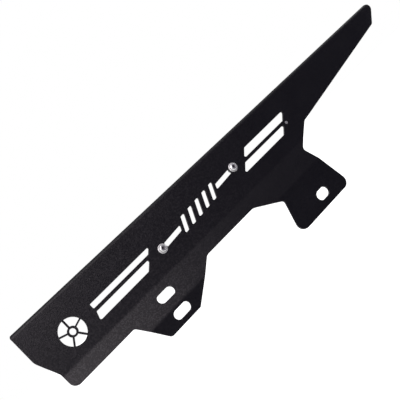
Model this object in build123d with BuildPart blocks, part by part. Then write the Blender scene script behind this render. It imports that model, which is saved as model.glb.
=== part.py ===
from build123d import *
import os
from math import cos, radians, sin

# Motorcycle chain guard: one folded sheet that carries two button head screws.
#
# The origin is on the back face of the mounting tabs, at the centre of the
# front tab's slot. +X runs to the tail, +Z up to the top edge, and the outer
# face looks towards -Y. Lengths are in millimetres and angles in degrees.

# Sheet and folds. The leans are measured from the plane of the tabs.
sheet = 2.5
panel_lean = 4.0
strip_lean = 16.0
front_panel_height = 53.5
tail_panel_height = 56.4
strip_width = 24.7
flange_depth = 25.0
top_bend_radius = 3.5
fold_radius = 9.0

# Lengths along the guard, and the fold above the tabs
front_reach = 115.4
guard_length = 519.5
tab_fold_rise = 6.8

# Slots for the bolts that hold the guard
front_slot_length = 18.7
front_slot_width = 9.0
strip_slot_rise = 12.9
rear_slot_length = 15.8
rear_slot_width = 10.2
slot_pitch = 180.8
rear_slot_drop = 19.6

# Front end
edge_strip_width = 13.3
nose_setback = 8.7
nose_rise = 3.0
chamfer_rise = 24.0
nose_corner = 6.0
chamfer_corner = 12.0
top_corner_radius = 3.0

# Front tab, measured from its slot
front_tab_drop = 9.2
front_tab_ahead = 22.0
front_tab_behind = 13.6
front_root_ahead = 39.8
front_root_behind = 52.0
front_root_fillet = 4.0
front_tab_corner = 3.0
front_tab_heel = 1.0
long_root_fillet = 7.0

# Rear tab, measured from its slot
rear_tab_drop = 11.9
rear_tab_ahead = 46.7
rear_tab_behind = 31.6
rear_root_ahead = 63.4
rear_shoulder_ahead = 35.9
rear_shoulder_rise = 21.4
rear_root_behind = 20.8
rear_root_rise = 42.7
rear_root_fillet = 12.0
rear_shoulder_corner = 3.0
rear_tab_corner = 7.5
rear_notch_fillet = 4.5

# Tail, with its heights measured from the upper fold
knee_behind_slot = 47.2
knee_rise = 11.4
tail_point_back = 24.6
tail_point_rise = 34.8
knee_fillet = 5.0
tail_heel_corner = 6.0
tail_tip_corner = 5.2

# Free edge of the top flange
flange_corner = 6.0
flange_front_setback = 14.0
flange_taper_length = 95.0
flange_tail_depth = 12.0

# Decorative slots. The lower front corner of each pair is placed on the panel from
# the front slot and the upper fold, and the pair tilts a little to the fold.
slot_height = 7.5
slot_slant = 1.12
slim_slot_height = 4.8
slot_web = 3.3
slot_corner = 1.2
slim_slot_corner = 0.9
front_pair_start = -54.2
front_pair_rise = 11.9
front_pair_tilt = 0.8
front_slot_run = 59.0
front_slot_lean = 2.7
slim_slot_start = 2.7
slim_slot_run = 66.8
rear_pair_start = 138.6
rear_pair_rise = 14.9
rear_pair_tilt = 0.6
rear_slot_run = 61.3

# Round cut-out with the wheel that is left in it
round_radius = 12.15
round_ahead = 76.6
round_rise = 21.2
wheel_outer_radius = 4.7
wheel_inner_radius = 2.9
spoke_width = 1.5
spoke_count = 5

# Screws, washers and nuts
screw_behind = 27.8
screw_rise = 18.5
screw_distance = 106.3
screw_line_tilt = 4.7
thread_diameter = 4.0
screw_length = 8.0
screw_point_chamfer = 0.4
screw_hole_clearance = 0.25
head_diameter = 7.6
head_height = 2.2
head_rim = 0.3
socket_across_flats = 2.5
socket_depth = 1.3
washer_diameter = 9.0
washer_thickness = 0.8
washer_clearance = 0.15
washer_edge_round = 0.25
nut_across_flats = 7.0
nut_thickness = 3.2
nut_clearance = 0.05
nut_chamfer = 0.5

# Slanted bars and their two runners, cut between the screws
bar_count = 5
bar_width = 5.4
bar_height = 13.2
bar_lean = 8.5
bar_pitch = 10.4
bar_corner = 0.9
runner_height = 4.4
runner_gap = 0.1
runner_corner = 0.9
runner_web = 3.0

# Places that follow from the sizes
lower_fold = tab_fold_rise
upper_fold = lower_fold + strip_width * cos(radians(strip_lean))
strip_inset = strip_width * sin(radians(strip_lean))
front_end = -front_reach
tail_end = front_end + guard_length
strip_edge = upper_fold - edge_strip_width * cos(radians(strip_lean))
rear_tab_edge = -rear_slot_drop - rear_tab_drop


def leaning_face(y, z, lean):
    """Plane on the outer face of a part of the sheet: X along the guard, Y up the face."""
    outward = (0, -cos(radians(lean)), sin(radians(lean)))
    return Plane(origin=(0, y, z), x_dir=(1, 0, 0), z_dir=outward)


tab_face = leaning_face(-sheet, 0, 0)
strip_face = leaning_face(-sheet, lower_fold, strip_lean)
panel_face = leaning_face(strip_inset - sheet, upper_fold, panel_lean)
front_top = panel_face.from_local_coords((front_end, front_panel_height, 0))
tail_top = panel_face.from_local_coords((tail_end, tail_panel_height, 0))
free_edge = front_top.Y + flange_depth * cos(radians(panel_lean))


def on_panel(along, rise, tilt):
    """Plane on the panel's outer face at a place on it, turned by the given tilt."""
    return Plane(panel_face.location * Location((along, rise, 0), (0, 0, tilt)))


front_pair = on_panel(front_pair_start, front_pair_rise, front_pair_tilt)
rear_pair = on_panel(rear_pair_start, rear_pair_rise, rear_pair_tilt)
screw_line = on_panel(screw_behind, screw_rise, screw_line_tilt)
screw_places = {"front": 0.0, "rear": screw_distance}


def slanted_slot(start, end, low, height, start_lean, end_lean, corner):
    """Rounded slot whose ends lean back by the given runs over its height."""
    with BuildSketch() as slot:
        with BuildLine():
            FilletPolyline(
                (start, low),
                (end, low),
                (end + end_lean, low + height),
                (start + start_lean, low + height),
                radius=corner,
                close=True,
            )
        make_face()
    add(slot.sketch)


# The sheet: its section at each end is drawn on the outer face and thickened
# inwards. The sheet runs from one to the other, as the panel grows towards the
# tail, and is then trimmed to the side outline and to the flange's plan.
with BuildPart() as guard_plate:
    for top in (front_top, tail_top):
        flange_end = top - panel_face.z_dir * (flange_depth + sheet)
        with BuildSketch(Plane.YZ.offset(top.X)):
            with BuildLine():
                FilletPolyline(
                    (tab_face.origin.Y, rear_tab_edge - sheet),
                    (strip_face.origin.Y, lower_fold),
                    (panel_face.origin.Y, upper_fold),
                    (top.Y, top.Z),
                    (flange_end.Y, flange_end.Z),
                    radius=[fold_radius, fold_radius, top_bend_radius],
                )
                offset(amount=sheet, side=Side.RIGHT)
            make_face()
    loft(ruled=True)

    outline = [
        ((front_end, front_top.Z), top_corner_radius),
        ((front_end, upper_fold + chamfer_rise), chamfer_corner),
        ((front_end + nose_setback, upper_fold + nose_rise), nose_corner),
        ((front_end + nose_setback, strip_edge), nose_corner),
        ((-front_root_ahead, strip_edge), front_root_fillet),
        ((-front_tab_ahead, -front_tab_drop), front_tab_corner),
        ((front_tab_behind, -front_tab_drop), front_tab_heel),
        ((front_root_behind, strip_edge), long_root_fillet),
        ((slot_pitch - rear_root_ahead, strip_edge), rear_root_fillet),
        ((slot_pitch - rear_shoulder_ahead, rear_shoulder_rise - rear_slot_drop), rear_shoulder_corner),
        ((slot_pitch - rear_tab_ahead, rear_tab_edge), rear_tab_corner),
        ((slot_pitch + rear_tab_behind, rear_tab_edge), rear_tab_corner),
        ((slot_pitch + rear_root_behind, rear_root_rise - rear_slot_drop), rear_notch_fillet),
        ((slot_pitch + knee_behind_slot, upper_fold + knee_rise), knee_fillet),
        ((tail_end - tail_point_back, upper_fold + tail_point_rise), tail_heel_corner),
        ((tail_end, tail_top.Z), tail_tip_corner),
    ]
    with BuildSketch(Plane.XZ):
        with BuildLine():
            FilletPolyline(
                [point for point, corner in outline],
                radius=[corner for point, corner in outline],
                close=True,
            )
        make_face()
    extrude(amount=2 * flange_depth, both=True, mode=Mode.INTERSECT)

    with BuildSketch(Plane.XY):
        with BuildLine():
            FilletPolyline(
                (front_end, -flange_depth),
                (tail_end, -flange_depth),
                (tail_end, free_edge - flange_depth + flange_tail_depth),
                (tail_end - flange_taper_length, free_edge),
                (front_end + flange_front_setback, free_edge),
                (front_end, front_top.Y + top_bend_radius),
                radius=[0, 0, flange_corner, flange_corner, flange_corner, 0],
                close=True,
            )
        make_face()
    extrude(amount=2 * tail_top.Z, both=True, mode=Mode.INTERSECT)

    # Bolt slots
    with BuildSketch(tab_face):
        SlotOverall(front_slot_length, front_slot_width)
        with Locations((slot_pitch, -rear_slot_drop)):
            SlotOverall(rear_slot_length, rear_slot_width)
    extrude(amount=-sheet, mode=Mode.SUBTRACT)
    with BuildSketch(strip_face):
        with Locations((0, strip_slot_rise)):
            SlotOverall(front_slot_length, front_slot_width)
    extrude(amount=-sheet, mode=Mode.SUBTRACT)

    # Decorative slots, in two pairs
    slot_step = slot_height + slot_web
    slot_lean = slot_height * slot_slant
    with BuildSketch(front_pair):
        slanted_slot(0, front_slot_run, 0, slot_height, front_slot_lean, slot_lean, slot_corner)
        slanted_slot(
            slim_slot_start,
            slim_slot_start + slim_slot_run,
            slot_step,
            slim_slot_height,
            0,
            slim_slot_height * slot_slant,
            slim_slot_corner,
        )
    extrude(amount=-sheet, mode=Mode.SUBTRACT)
    with BuildSketch(rear_pair):
        for shift in (0, slot_step):
            slanted_slot(
                shift, shift + rear_slot_run, shift, slot_height, slot_lean, slot_lean, slot_corner
            )
    extrude(amount=-sheet, mode=Mode.SUBTRACT)

    # Round cut-out, less its wheel
    with BuildSketch(panel_face):
        with Locations((-round_ahead, round_rise)):
            Circle(round_radius)
            Circle(wheel_outer_radius, mode=Mode.SUBTRACT)
            with PolarLocations((wheel_outer_radius + round_radius) / 2, spoke_count, start_angle=90):
                Rectangle(round_radius, spoke_width, mode=Mode.SUBTRACT)
            Circle(wheel_inner_radius)
    extrude(amount=-sheet, mode=Mode.SUBTRACT)

    # Screw holes, with the bars and runners between them
    with BuildSketch(screw_line):
        with Locations(*[(place, 0) for place in screw_places.values()]):
            Circle(thread_diameter / 2 + screw_hole_clearance)
        bar_start = (screw_distance - (bar_count - 1) * bar_pitch - bar_width - bar_lean) / 2
        for index in range(bar_count):
            start = bar_start + index * bar_pitch
            slanted_slot(
                start, start + bar_width, -bar_height / 2, bar_height, bar_lean, bar_lean, bar_corner
            )
        runner_start = washer_diameter / 2 + runner_gap
        runner_lean = bar_lean * runner_height / bar_height
        runner_end = bar_start + (bar_lean - runner_lean) / 2 - runner_web
        slanted_slot(
            runner_start, runner_end, -runner_height / 2, runner_height, 0, runner_lean, runner_corner
        )
        slanted_slot(
            screw_distance - runner_end - runner_lean,
            screw_distance - runner_start,
            -runner_height / 2,
            runner_height,
            runner_lean,
            0,
            runner_corner,
        )
    extrude(amount=-sheet, mode=Mode.SUBTRACT)


def button_screw(seat):
    """Button head screw with a hex socket; its head seats on the washer on the given plane."""
    axis = Axis(seat.origin, seat.z_dir)
    with BuildPart(seat) as screw:
        with Locations((0, 0, washer_thickness)):
            Cylinder(head_diameter / 2, head_height, align=(Align.CENTER, Align.CENTER, Align.MIN))
        fillet(screw.faces().sort_by(axis)[-1].edges(), radius=head_height - head_rim)
        with BuildSketch(seat.offset(washer_thickness + head_height)):
            RegularPolygon(socket_across_flats / 2, 6, major_radius=False)
        extrude(amount=-socket_depth, mode=Mode.SUBTRACT)
        with Locations((0, 0, washer_thickness)):
            Cylinder(thread_diameter / 2, screw_length, align=(Align.CENTER, Align.CENTER, Align.MAX))
        chamfer(screw.faces().sort_by(axis)[0].edges(), length=screw_point_chamfer)
    return screw


def plain_washer(seat):
    """Flat ring that lies on the given plane, with the rounded outer edge that punching leaves."""
    with BuildPart() as washer:
        with BuildSketch(seat):
            Circle(washer_diameter / 2)
            Circle(thread_diameter / 2 + washer_clearance, mode=Mode.SUBTRACT)
        extrude(amount=washer_thickness)
        top_face = washer.faces().sort_by(Axis(seat.origin, seat.z_dir))[-1]
        fillet(top_face.outer_wire().edges(), radius=washer_edge_round)
    return washer


def hex_nut(seat):
    """Hexagon nut behind the sheet: its prism is cut round at both ends, and bored."""
    back = seat.offset(-sheet)
    corner_radius = nut_across_flats / 2 / cos(radians(30))
    with BuildPart(back) as nut:
        Cylinder(corner_radius, nut_thickness, align=(Align.CENTER, Align.CENTER, Align.MAX))
        chamfer(nut.edges().filter_by(GeomType.CIRCLE), length=nut_chamfer, length2=nut_chamfer / 2)
        with BuildSketch(back):
            RegularPolygon(nut_across_flats / 2, 6, major_radius=False)
        extrude(amount=-nut_thickness, mode=Mode.INTERSECT)
        with BuildSketch(back):
            Circle(thread_diameter / 2 + nut_clearance)
        extrude(amount=-nut_thickness, mode=Mode.SUBTRACT)
    return nut


pieces = {"guard_plate": guard_plate}
for end, place in screw_places.items():
    seat = Plane(screw_line.location * Location((place, 0, 0)))
    pieces[end + "_screw"] = button_screw(seat)
    pieces[end + "_washer"] = plain_washer(seat)
    pieces[end + "_nut"] = hex_nut(seat)

os.makedirs("parts", exist_ok=True)
for name, piece in pieces.items():
    piece.part.label = name
    export_step(piece.part, f"parts/{name}.step")
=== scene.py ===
"""Finishes the chain guard: powder coat, plated screws with cut threads, studio and camera."""

from math import cos, pi, radians, sin

import bpy
import numpy as np
from bpy.props import FloatProperty, FloatVectorProperty, PointerProperty
from mathutils import Matrix, Vector


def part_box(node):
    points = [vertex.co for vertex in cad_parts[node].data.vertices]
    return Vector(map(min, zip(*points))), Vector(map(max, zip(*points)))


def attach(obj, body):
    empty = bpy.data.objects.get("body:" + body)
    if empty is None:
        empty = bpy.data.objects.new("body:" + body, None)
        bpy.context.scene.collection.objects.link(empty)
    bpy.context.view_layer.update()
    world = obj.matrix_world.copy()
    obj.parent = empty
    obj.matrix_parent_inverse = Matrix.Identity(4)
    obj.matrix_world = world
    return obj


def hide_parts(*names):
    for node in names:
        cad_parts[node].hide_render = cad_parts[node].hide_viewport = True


bl_info = {
    "name": "Chain guard finish",
    "version": (1, 0, 0),
    "blender": (4, 5, 0),
    "location": "3D View > Sidebar > Chain guard",
    "description": "Coats the folded guard, threads its screws and sets up the studio",
    "category": "Object",
}

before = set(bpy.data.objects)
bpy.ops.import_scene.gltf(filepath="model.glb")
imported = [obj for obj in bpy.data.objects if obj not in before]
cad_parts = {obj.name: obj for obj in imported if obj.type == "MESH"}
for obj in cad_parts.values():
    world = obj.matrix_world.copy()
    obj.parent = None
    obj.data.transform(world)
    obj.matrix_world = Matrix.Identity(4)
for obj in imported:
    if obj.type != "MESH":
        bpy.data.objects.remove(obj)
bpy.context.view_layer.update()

PANEL_LEAN = radians(4)
PANEL_NORMAL = np.array((0.0, -cos(PANEL_LEAN), sin(PANEL_LEAN)))
FASTENER_ENDS = ("front", "rear")
TURN_STEPS, DOME_STEPS, PITCH_STEPS = 96, 17, 12
THREAD_DEPTH = 0.6
SOCKET_ROWS = 4
LOWER_FOLD, UPPER_FOLD, FOLD_BLEND = 0.007, 0.031, 0.002
CHIP_PLACE = (0.2112, 0.0059, 0.0532)
FLAG_WAY = (0.46, -0.87, 0.14)
GAP_WAY = (-0.15, 0.78, 0.61)


class CoatSettings(bpy.types.PropertyGroup):
    """Looks of the powder coat."""

    colour: FloatVectorProperty(
        name="Colour",
        description="Colour of the coat",
        subtype="COLOR",
        size=3,
        default=(0.0036, 0.0033, 0.0052),
    )
    fleck_colour: FloatVectorProperty(
        name="Fleck",
        description="Colour of the coat's fine flecks",
        subtype="COLOR",
        size=3,
        default=(0.07, 0.066, 0.072),
    )
    roughness: FloatProperty(
        name="Roughness",
        description="Mean roughness of the coat",
        subtype="FACTOR",
        min=0,
        max=1,
        default=0.37,
    )
    grain: FloatProperty(
        name="Grain", description="Width of one bump of the fine texture", unit="LENGTH", default=0.0011
    )
    chip_width: FloatProperty(
        name="Chip width",
        description="Width of the small chip beside the rear slots",
        unit="LENGTH",
        default=0.0029,
    )
    metal: FloatVectorProperty(
        name="Metal",
        description="Colour of the metal in the chip",
        subtype="COLOR",
        size=3,
        default=(0.55, 0.55, 0.56),
    )


class FastenerSettings(bpy.types.PropertyGroup):
    """Sizes and looks of the screws, washers and nuts."""

    head_radius: FloatProperty(
        name="Head radius", description="Radius of the button head", unit="LENGTH", default=0.0038
    )
    head_height: FloatProperty(
        name="Head height", description="Height of the button head", unit="LENGTH", default=0.0022
    )
    socket_width: FloatProperty(
        name="Socket width", description="Hexagon socket across its flats", unit="LENGTH", default=0.0025
    )
    socket_depth: FloatProperty(
        name="Socket depth", description="Depth of the hexagon socket", unit="LENGTH", default=0.0013
    )
    thread_radius: FloatProperty(
        name="Thread radius", description="Radius over the thread's crests", unit="LENGTH", default=0.002
    )
    thread_pitch: FloatProperty(
        name="Thread pitch", description="Distance from crest to crest", unit="LENGTH", default=0.0007
    )
    shank_length: FloatProperty(
        name="Shank length", description="Length under the head", unit="LENGTH", default=0.008
    )
    washer_thickness: FloatProperty(
        name="Washer thickness",
        description="Height of the head's seat over the sheet",
        unit="LENGTH",
        default=0.0008,
    )
    plating: FloatVectorProperty(
        name="Plating",
        description="Colour of the bright plating",
        subtype="COLOR",
        size=3,
        default=(0.96, 0.96, 0.95),
    )
    # painted shade: a dark colour for the socket's recess, standing in for the shade inside it
    socket_painted_shade: FloatVectorProperty(
        name="Socket",
        description="Colour of the thin, dull plating in the socket",
        subtype="COLOR",
        size=3,
        default=(0.11, 0.11, 0.115),
    )
    zinc: FloatVectorProperty(
        name="Zinc",
        description="Colour of the nuts' zinc",
        subtype="COLOR",
        size=3,
        default=(0.62, 0.64, 0.66),
    )


class StudioSettings(bpy.types.PropertyGroup):
    """Floor, light and camera."""

    floor_drop: FloatProperty(
        name="Floor drop",
        description="Height of the guard's origin over the floor",
        unit="LENGTH",
        default=0.30,
    )
    key_power: FloatProperty(name="Key power", description="Power of the key light in watts", default=23.0)
    fill_light: FloatProperty(name="Fill", description="Strength of the light from all round", default=0.8)
    flag_colour: FloatVectorProperty(
        name="Flag",
        description="Colour of the dark flag beside the camera",
        subtype="COLOR",
        size=3,
        default=(0.086, 0.079, 0.124),
    )
    gap_colour: FloatVectorProperty(
        name="Gap",
        description="Colour of the dim part of the room, above and behind the guard",
        subtype="COLOR",
        size=3,
        default=(0.10, 0.10, 0.11),
    )
    lens: FloatProperty(name="Lens", description="Focal length in millimetres", default=62.1)


class Signal:
    """A socket of a material's node tree that takes part in Python arithmetic."""

    def __init__(self, tree, socket):
        self.tree = tree
        self.socket = socket

    def node(self, kind, inputs=(), output=0, **settings):
        """Adds any node, sets it up, links or sets its inputs by name or number, and gives one output."""
        made = self.tree.nodes.new(kind)
        for name, value in settings.items():
            setattr(made, name, value)
        for name, value in dict(inputs).items():
            if isinstance(value, Signal):
                self.tree.links.new(value.socket, made.inputs[name])
            else:
                made.inputs[name].default_value = value
        return Signal(self.tree, made.outputs[output])

    def maths(self, operation, *values):
        """Applies one operation of the Math node to this signal or to the given values."""
        return self.node("ShaderNodeMath", enumerate(values), operation=operation)

    def __add__(self, other):
        return self.maths("ADD", self, other)

    def __radd__(self, other):
        return self.maths("ADD", other, self)

    def __sub__(self, other):
        return self.maths("SUBTRACT", self, other)

    def __rsub__(self, other):
        return self.maths("SUBTRACT", other, self)

    def __mul__(self, other):
        return self.maths("MULTIPLY", self, other)

    def __rmul__(self, other):
        return self.maths("MULTIPLY", other, self)

    def clipped(self):
        """This signal kept between 0 and 1."""
        return self.node("ShaderNodeClamp", {0: self})

    def step(self, low, high):
        """A smooth ramp from 0 at low to 1 at high."""
        inputs = {"Value": self, "From Min": low, "From Max": high}
        return self.node("ShaderNodeMapRange", inputs, interpolation_type="SMOOTHSTEP")

    def noise(self, width, detail=2.0):
        """Noise on this position, with features of the given width."""
        inputs = {"Vector": self, "Scale": 1 / width, "Detail": detail}
        return self.node("ShaderNodeTexNoise", inputs)

    def bumps(self, strength, distance):
        """The normal of a surface that this height roughens."""
        inputs = {"Height": self, "Strength": strength, "Distance": distance}
        return self.node("ShaderNodeBump", inputs)

    def along(self, way):
        """How far this direction agrees with the given one, from -1 to 1."""
        inputs = {0: self, 1: way}
        return self.node("ShaderNodeVectorMath", inputs, output="Value", operation="DOT_PRODUCT")

    def axis(self, number):
        """One coordinate of this position: 0 is along the guard, 1 inwards and 2 up."""
        return self.node("ShaderNodeSeparateXYZ", {0: self}, output=number)

    def between(self, low, high):
        """A colour from low at 0 to high at 1; either end is a plain colour or a signal."""
        ends = [end if isinstance(end, Signal) else (*end, 1) for end in (low, high)]
        inputs = {0: self, 6: ends[0], 7: ends[1]}
        return self.node("ShaderNodeMix", inputs, output=2, data_type="RGBA")


def new_material(name):
    """An empty material with its Principled shader, and the position on the piece as a signal."""
    material = bpy.data.materials.new(name)
    material.use_nodes = True
    tree = material.node_tree
    shader = tree.nodes["Principled BSDF"]
    place = Signal(tree, tree.nodes.new("ShaderNodeTexCoord").outputs["Object"])
    return material, shader, place


def feed(shader, **signals):
    """Links signals to the shader's sockets, named with underscores for their spaces."""
    for name, signal in signals.items():
        signal.tree.links.new(signal.socket, shader.inputs[name.replace("_", " ")])


def flecks_and_painted_sheen(place):
    """How much the flecks show, with a painted sheen: more on the strip and to the front, where the key
    light's sheen falls, and little on the tabs.
    """
    along, rise = place.axis(0), place.axis(2)
    above_tabs = rise.step(LOWER_FOLD - FOLD_BLEND, LOWER_FOLD + FOLD_BLEND)
    strip = above_tabs * (1 - rise.step(UPPER_FOLD - FOLD_BLEND, UPPER_FOLD + FOLD_BLEND))
    strip_share = strip * ((1 - along.step(-0.03, 0.12)) * 0.31 + 0.01)
    panel_share = (above_tabs - strip) * ((1 - along.step(0.03, 0.2)) * 0.145 + 0.03)
    return strip_share + panel_share + (1 - above_tabs) * 0.035


def powder_coat(settings):
    """Fine textured black powder coat with a faint sparkle, painted brighter where the light's sheen falls,
    and one chip down to the metal.
    """
    material, shader, place = new_material("black powder coat")
    colour = np.array(settings.colour)
    mottle = place.noise(0.03, 3.0)
    grain = place.noise(settings.grain, 3.0)
    fine = place.noise(settings.grain / 3, 2.0)
    cells = place.node(
        "ShaderNodeTexVoronoi", {"Vector": place, "Scale": 1 / (settings.grain * 0.9)}, output="Color"
    )
    fleck = cells.node("ShaderNodeSeparateColor", {0: cells}).step(0.35, 1.0)
    chip_gap = place.node(
        "ShaderNodeVectorMath", {0: place, 1: CHIP_PLACE}, output="Value", operation="DISTANCE"
    )
    chip_gap = chip_gap + (grain - 0.5) * 0.0012
    chip = 1 - chip_gap.step(settings.chip_width * 0.35, settings.chip_width * 0.6)
    tone = (mottle * 0.5 + grain * 0.9 - 0.2).clipped()
    coat = tone.between(colour * 0.55, colour * 1.6)
    # the flecks' share by place is a painted sheen: brighter flecks where the key light falls
    coat = (fleck * flecks_and_painted_sheen(place)).between(coat, settings.fleck_colour)
    height = grain + fine * 0.5 - chip * 1.5
    feed(
        shader,
        Base_Color=chip.between(coat, settings.metal),
        Roughness=(grain - 0.5) * 0.3 + (mottle - 0.5) * 0.06 + settings.roughness,
        Metallic=chip * 0.7,
        Normal=height.bumps(0.42, 0.00025),
    )
    shader.inputs["Specular IOR Level"].default_value = 0.42
    return material


def plated_steel(name, colour, roughness, brushing, metallic=1.0):
    """Plated steel: small uneven patches, fine scratches and a soft roll of the surface."""
    material, shader, place = new_material(name)
    colour = np.array(colour)
    patches = place.noise(0.0022, 2.0)
    scratches = place.noise(0.00025, 4.0)
    feed(
        shader,
        Base_Color=patches.between(colour * 0.82, np.minimum(colour * 1.08, 1)),
        Roughness=(patches - 0.5) * 0.12 + scratches * 0.06 + roughness,
        Normal=(patches + scratches * 0.3).bumps(brushing, 0.00005),
    )
    shader.inputs["Metallic"].default_value = metallic
    return material


def grid_mesh(name, points):
    """A closed skin over a grid of points, whose rows run round and whose end rows are capped."""
    rows, columns = points.shape[:2]
    vertices = points.reshape(-1, 3)
    row, column = np.meshgrid(np.arange(rows - 1), np.arange(columns), indexing="ij")
    after = (column + 1) % columns
    first, second = row * columns, (row + 1) * columns
    faces = np.stack((first + column, second + column, second + after, first + after), -1).reshape(-1, 4)
    poles = (np.arange(columns), rows * columns - 1 - np.arange(columns))
    mesh = bpy.data.meshes.new(name)
    mesh.from_pydata(vertices.tolist(), [], faces.tolist() + [pole.tolist() for pole in poles])
    mesh.update()
    piece = bpy.data.objects.new(name, mesh)
    bpy.context.scene.collection.objects.link(piece)
    mesh.shade_smooth()
    mesh.set_sharp_from_angle(angle=radians(38))
    return piece


def screw_points(seat, settings):
    """The skin of a button head screw, worked out row by row from the socket's floor to the point.

    A row is a ring at one height. Its radius is that of a circle, but in the socket it is
    half the width over the flats divided by the cosine of the angle from the nearest flat,
    and on the shank it falls from the crest by the depth times a triangle wave of the
    height over the pitch plus the turn. The rim is the head's straight side, the bevel
    breaks the socket's edge, the neck is plain and the tip is the point's chamfer.
    """
    turn = np.linspace(0, 2 * pi, TURN_STEPS, endpoint=False)
    head, top = settings.head_radius, settings.head_height
    across, floor = settings.socket_width / 2, top - settings.socket_depth
    crest, pitch, length = settings.thread_radius, settings.thread_pitch, settings.shank_length
    rim, bevel, edge, neck, tip = 0.0003, 0.0002, 0.0001, 0.0006, 0.0004
    hexagon = across / np.cos((turn + pi / 6) % (pi / 3) - pi / 6)
    circle = np.ones_like(turn)
    brow = head - (top - rim)
    arc = np.linspace(0, pi / 2, DOME_STEPS)
    dome_radius = brow + (head - brow) * np.sin(arc)
    dome_height = rim + (top - rim) * np.cos(arc)
    rings = [
        (hexagon * 0.05, floor - rim),
        (hexagon * 0.98, floor),
        (hexagon, floor + edge / 2),
        (hexagon, top - bevel),
        (circle * across * 1.2, top - rim / 10),
        (circle * across * 1.26, top),
    ]
    rings += [(circle * radius, height) for radius, height in zip(dome_radius, dome_height)]
    rings += [
        (circle * head, edge),
        (circle * (head - edge), 0.0),
        (circle * (crest + bevel), 0.0),
        (circle * (crest - edge / 2), -rim),
    ]
    down = np.arange(neck, length, pitch / PITCH_STEPS)
    wave = (down[:, None] / pitch + turn[None, :] / (2 * pi)) % 1
    cut = THREAD_DEPTH * pitch * np.abs(2 * wave - 1)
    fade = np.clip((down[:, None] - neck) / pitch, 0, 1)
    point = np.clip(crest - (down[:, None] - (length - tip)), 0, crest)
    shank = np.minimum(crest - cut * fade, point)
    rings += [(radii, -depth) for radii, depth in zip(shank, down)]
    rings += [(np.minimum(shank[-1], crest - tip - edge), -length), (circle * bevel, -length)]
    radii = np.array([radius for radius, height in rings])
    heights = np.array([height for radius, height in rings])[:, None, None]
    across_x = np.array((1.0, 0.0, 0.0))
    across_z = np.cross(PANEL_NORMAL, across_x)
    ring = np.cos(turn)[:, None] * across_x + np.sin(turn)[:, None] * across_z
    return seat + radii[:, :, None] * ring + heights * PANEL_NORMAL


def darken_socket(mesh):
    """Gives the socket the second material, a painted shade for the recess: its walls are the first rows
    and its floor the first pole.
    """
    index = np.zeros(len(mesh.polygons), dtype=np.int32)
    index[: SOCKET_ROWS * TURN_STEPS] = 1
    index[-2] = 1
    mesh.polygons.foreach_set("material_index", index)


def wear(node, material):
    """Gives one CAD node its finish."""
    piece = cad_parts[node]
    piece.data.materials.clear()
    piece.data.materials.append(material)


class GUARD_OT_coat(bpy.types.Operator):
    """Give the folded plate its textured powder coat"""

    bl_idname = "guard.coat"
    bl_label = "Coat the plate"

    def execute(self, context):
        wear("guard_plate", powder_coat(context.scene.guard_coat))
        return {"FINISHED"}


class GUARD_OT_screws(bpy.types.Operator):
    """Make the two button head screws with sockets and cut threads"""

    bl_idname = "guard.screws"
    bl_label = "Make the screws"

    def execute(self, context):
        settings = context.scene.guard_fasteners
        bright = plated_steel("bright plating", settings.plating, 0.12, 0.3, 0.78)
        # the socket's material is a painted shade for the recess, not a different plating
        shade = plated_steel("socket painted shade", settings.socket_painted_shade, 0.30, 0.3)
        for end in FASTENER_ENDS:
            low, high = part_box(end + "_washer")
            middle = (np.array(low) + np.array(high)) / 2
            seat = middle + PANEL_NORMAL * settings.washer_thickness / 2
            screw = grid_mesh(end + "_button_screw", screw_points(seat, settings))
            screw.data.materials.append(bright)
            screw.data.materials.append(shade)
            darken_socket(screw.data)
            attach(screw, "root")
            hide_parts(end + "_screw")
            wear(end + "_screw", bright)
        return {"FINISHED"}


class GUARD_OT_washers(bpy.types.Operator):
    """Give the washers their plating and the nuts their zinc"""

    bl_idname = "guard.washers"
    bl_label = "Finish the washers and nuts"

    def execute(self, context):
        settings = context.scene.guard_fasteners
        bright = plated_steel("washer plating", settings.plating, 0.42, 0.4, 0.7)
        zinc = plated_steel("nut zinc", settings.zinc, 0.34, 0.5)
        for end in FASTENER_ENDS:
            wear(end + "_washer", bright)
            wear(end + "_nut", zinc)
        return {"FINISHED"}


def area_light(name, place, target, size, power, colour=(1, 1, 1)):
    """A rectangular lamp at a place, turned to face the target."""
    lamp = bpy.data.lights.new(name, "AREA")
    lamp.shape = "RECTANGLE"
    lamp.size, lamp.size_y = size
    lamp.energy = power
    lamp.color = colour
    holder = bpy.data.objects.new(name, lamp)
    bpy.context.scene.collection.objects.link(holder)
    holder.location = place
    holder.visible_camera = False
    aim = Vector(target) - Vector(place)
    holder.rotation_euler = aim.to_track_quat("-Z", "Y").to_euler()


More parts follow.
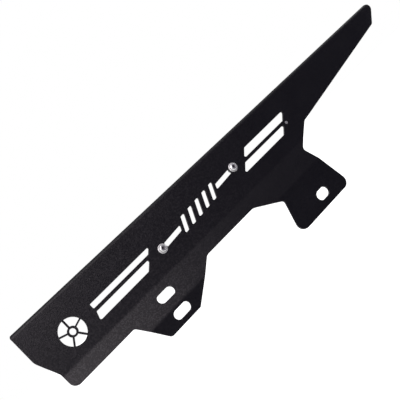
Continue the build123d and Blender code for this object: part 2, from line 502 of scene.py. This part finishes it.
class GUARD_OT_studio(bpy.types.Operator):
    """Lay the pale floor, hang the lights and place the camera"""

    bl_idname = "guard.studio"
    bl_label = "Set up the studio"

    def execute(self, context):
        settings = context.scene.guard_studio
        scene = context.scene
        scene.view_settings.view_transform = "Standard"
        self.lay_floor(settings)
        self.light(scene, settings)
        self.place_camera(scene, settings)
        return {"FINISHED"}

    def lay_floor(self, settings):
        """A level square, wide enough to run out of sight on every side."""
        reach = 8.0
        corners = [(-reach, -reach), (reach, -reach), (reach, reach), (-reach, reach)]
        mesh = bpy.data.meshes.new("floor")
        mesh.from_pydata([(x, y, -settings.floor_drop) for x, y in corners], [], [(0, 1, 2, 3)])
        floor = bpy.data.objects.new("floor", mesh)
        bpy.context.scene.collection.objects.link(floor)
        material, shader, place = new_material("pale floor")
        shade = place.noise(1.5, 1.0)
        feed(shader, Base_Color=shade.between((0.86, 0.86, 0.86), (0.9, 0.9, 0.9)))
        shader.inputs["Roughness"].default_value = 0.9
        shader.inputs["Specular IOR Level"].default_value = 0.1
        shader.inputs["Emission Color"].default_value = (1, 1, 1, 1)
        shader.inputs["Emission Strength"].default_value = 1.0
        mesh.materials.append(material)
        floor.visible_diffuse = False
        floor.visible_glossy = False

    def light(self, scene, settings):
        """An even white room with a dark flag and a dim part, a large key light and two weak cards."""
        world = bpy.data.worlds.new("studio")
        scene.world = world
        world.use_nodes = True
        tree = world.node_tree
        tree.nodes.clear()
        straight = Signal(tree, tree.nodes.new("ShaderNodeLightPath").outputs["Is Camera Ray"])
        way = Signal(tree, tree.nodes.new("ShaderNodeTexCoord").outputs["Generated"])
        flag = way.along(FLAG_WAY).step(0.55, 0.79)
        gap = way.along(GAP_WAY).step(0.35, 0.75)
        walls = flag.between(gap.between((1, 1, 1), settings.gap_colour), settings.flag_colour)
        seen = way.node("ShaderNodeBackground", {"Color": (1, 1, 1, 1), "Strength": 1.0})
        lit = way.node("ShaderNodeBackground", {"Color": walls, "Strength": settings.fill_light})
        mixed = straight.node("ShaderNodeMixShader", {0: straight, 1: lit, 2: seen})
        output = tree.nodes.new("ShaderNodeOutputWorld")
        tree.links.new(mixed.socket, output.inputs["Surface"])
        key_place, key_target, key_tint = (-0.55, -1.42, 1.12), (-0.05, 0.0, 0.04), (1.0, 0.91, 0.95)
        area_light("key", key_place, key_target, (2.0, 1.5), settings.key_power, key_tint)
        area_light("side card", (1.55, 0.3, 0.3), (0.08, 0.0, 0.05), (1.0, 1.0), 3.0)
        area_light("back card", (0.4, 1.5, 0.9), (0.1, 0.0, 0.04), (1.8, 1.2), 4.0)

    def place_camera(self, scene, settings):
        """The photograph's view: from before the guard's front half, level with its top edge and rolled."""
        lens = bpy.data.cameras.new("camera")
        lens.sensor_width = 36.0
        lens.lens = settings.lens
        lens.clip_start, lens.clip_end = 0.01, 50.0
        camera = bpy.data.objects.new("camera", lens)
        scene.collection.objects.link(camera)
        right = (0.65612, -0.30965, -0.68821)
        up = (0.63157, -0.27385, 0.72534)
        back = (-0.41307, -0.91055, 0.01590)
        place = (-0.17277, -0.56447, 0.06697)
        rows = [(right[i], up[i], back[i], place[i]) for i in range(3)]
        camera.matrix_world = Matrix(rows + [(0, 0, 0, 1)])
        scene.camera = camera


class GUARD_PT_panel(bpy.types.Panel):
    """Sizes, colours and steps of the guard's finish"""

    bl_label = "Chain guard"
    bl_idname = "GUARD_PT_panel"
    bl_space_type = "VIEW_3D"
    bl_region_type = "UI"
    bl_category = "Chain guard"

    def draw(self, context):
        for operator, settings in STEPS:
            box = self.layout.box()
            group = getattr(context.scene, settings)
            for name in group.__annotations__:
                box.prop(group, name)
            box.operator(operator.bl_idname)


STEPS = (
    (GUARD_OT_coat, "guard_coat"),
    (GUARD_OT_screws, "guard_fasteners"),
    (GUARD_OT_washers, "guard_fasteners"),
    (GUARD_OT_studio, "guard_studio"),
)
GROUPS = {"guard_coat": CoatSettings, "guard_fasteners": FastenerSettings, "guard_studio": StudioSettings}


def register():
    """Makes the settings, steps and panel known."""
    for name, group in GROUPS.items():
        bpy.utils.register_class(group)
        setattr(bpy.types.Scene, name, PointerProperty(type=group))
    for operator, settings in STEPS:
        bpy.utils.register_class(operator)
    bpy.utils.register_class(GUARD_PT_panel)


def unregister():
    """Takes the settings, steps and panel away again."""
    bpy.utils.unregister_class(GUARD_PT_panel)
    for operator, settings in STEPS:
        bpy.utils.unregister_class(operator)
    for name, group in GROUPS.items():
        delattr(bpy.types.Scene, name)
        bpy.utils.unregister_class(group)


def main():
    """Runs every step in order."""
    register()
    bpy.ops.guard.coat()
    bpy.ops.guard.screws()
    bpy.ops.guard.washers()
    bpy.ops.guard.studio()


if __name__ == "__main__":
    main()
